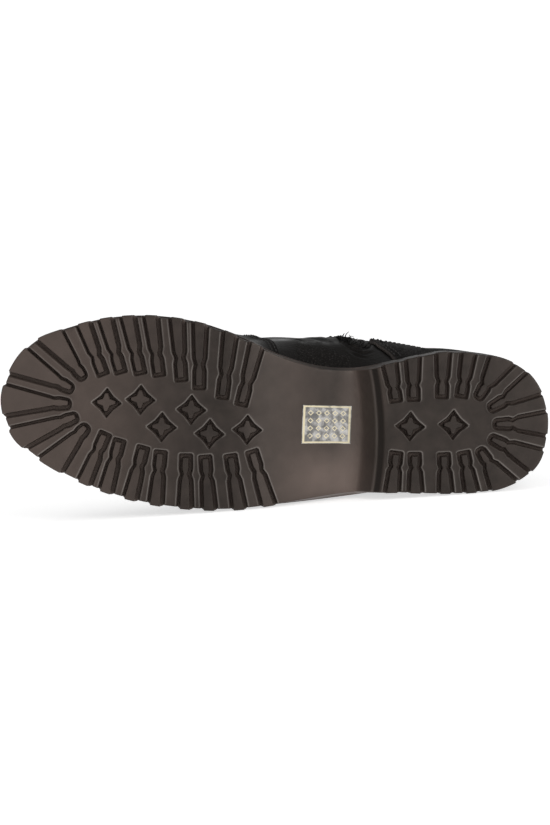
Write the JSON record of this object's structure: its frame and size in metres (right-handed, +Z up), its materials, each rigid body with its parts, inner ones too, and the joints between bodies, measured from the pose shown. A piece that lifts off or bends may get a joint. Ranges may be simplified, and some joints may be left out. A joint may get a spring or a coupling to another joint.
{
  "type": "ankle boot",
  "caption": "Right ankle boot lying on its outer side: black leather upper, inner side zip with a hinged pull tab, dark rubber unit sole with radial lugs, star recesses and a block heel",
  "frame": {"origin": "centre of the bounding box, on the floor that the boot lies on", "axes": "+Z up, toe towards -X, sole facing -Y, collar towards +Y, inner side of the foot up"},
  "size_m": [0.2674, 0.1586, 0.099],
  "materials": {
    "sole_rubber": "moulded dark brown-grey rubber, satin",
    "insole_fabric": "woven footbed cover, matte",
    "upper_leather": "black grained leather, soft gloss",
    "vamp_leather": "black leather, soft gloss",
    "counter_leather": "black pebbled leather",
    "tape_fabric": "black woven zip tape",
    "teeth_plastic": "black moulded teeth",
    "slider_metal": "dark plated metal",
    "pull_metal": "dark plated metal"
  },
  "bodies": {
    "boot": {"outsole": "sole_rubber", "insole": "insole_fabric", "upper": "upper_leather", "vamp": "vamp_leather", "heel_counter": "counter_leather", "zip_tape": "tape_fabric", "zip_teeth": "teeth_plastic", "zip_slider": "slider_metal"},
    "pull": {"zip_pull": "pull_metal"}
  },
  "joints": [
    {"name": "pull_hinge", "type": "hinge", "parent": "boot", "child": "pull", "pos_m": [0.04767, 0.06368, 0.07179], "axis": [-0.983, 0.149, -0.1075], "range_deg": [0, 150]}
  ]
}
